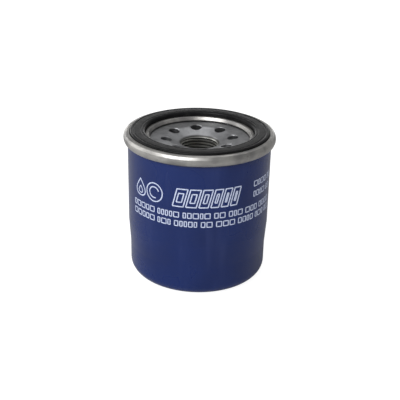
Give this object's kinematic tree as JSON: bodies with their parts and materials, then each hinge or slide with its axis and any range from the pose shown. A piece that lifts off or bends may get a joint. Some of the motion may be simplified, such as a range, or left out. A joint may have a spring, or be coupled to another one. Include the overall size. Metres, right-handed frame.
{
  "type": "oil filter",
  "caption": "spin-on oil filter for a small engine: seamed steel can, threaded base plate, gasket, pleated element and spring valves",
  "frame": {"origin": "on the axis at the middle of the resting face of the closed end", "axes": "+Z along the filter's axis, out of the threaded end; X and Y across it"},
  "size_m": [0.0742, 0.0742, 0.0742],
  "materials": {
    "can_paint": "gloss navy enamel over drawn steel",
    "plated_lid": "dull tin plate, slightly worn",
    "plated_plate": "zinc plate, satin",
    "gasket_rubber": "satin moulded nitrile rubber",
    "valve_rubber": "soft moulded nitrile rubber",
    "plated_sheet": "tin plate, satin",
    "potting": "cured plastisol adhesive",
    "filter_paper": "resin-bonded pleated filter paper",
    "poppet_plastic": "glass-filled nylon",
    "spring_steel": "drawn spring wire",
    "seam_compound": "cured can-end sealing compound"
  },
  "bodies": {
    "housing": {"can": "can_paint", "seaming_lid": "plated_lid", "seam_compound": "seam_compound", "base_plate": "plated_plate", "sealing_gasket": "gasket_rubber", "element_spring": "spring_steel"},
    "element": {"anti_drain_collar": "valve_rubber", "upper_end_cap": "plated_sheet", "upper_potting": "potting", "pleated_media": "filter_paper", "pleat_seam_clip": "plated_sheet", "lower_potting": "potting", "lower_end_cap": "plated_sheet", "center_tube": "plated_sheet", "bypass_cage": "plated_sheet", "bypass_seat_plate": "plated_sheet", "bypass_spring": "spring_steel"},
    "drain_lip": {"anti_drain_lip": "valve_rubber"},
    "poppet": {"bypass_poppet": "poppet_plastic", "bypass_seal": "valve_rubber"}
  },
  "joints": [
    {"name": "element_float", "type": "slide", "parent": "housing", "child": "element", "axis": [0, 0, 1], "range_m": [-0.0012, 0], "stiffness_N_per_m": 8000, "springref_m": 0.006, "deforming": ["element_spring"]},
    {"name": "bypass_lift", "type": "slide", "parent": "element", "child": "poppet", "axis": [0, 0, 1], "range_m": [0, 0.003], "stiffness_N_per_m": 1500, "springref_m": -0.005, "deforming": ["bypass_spring"]},
    {"name": "drain_lip_flex", "type": "slide", "parent": "element", "child": "drain_lip", "axis": [0, 0, 1], "range_m": [-0.0012, 0], "stiffness_N_per_m": 400, "springref_m": 0.002}
  ]
}
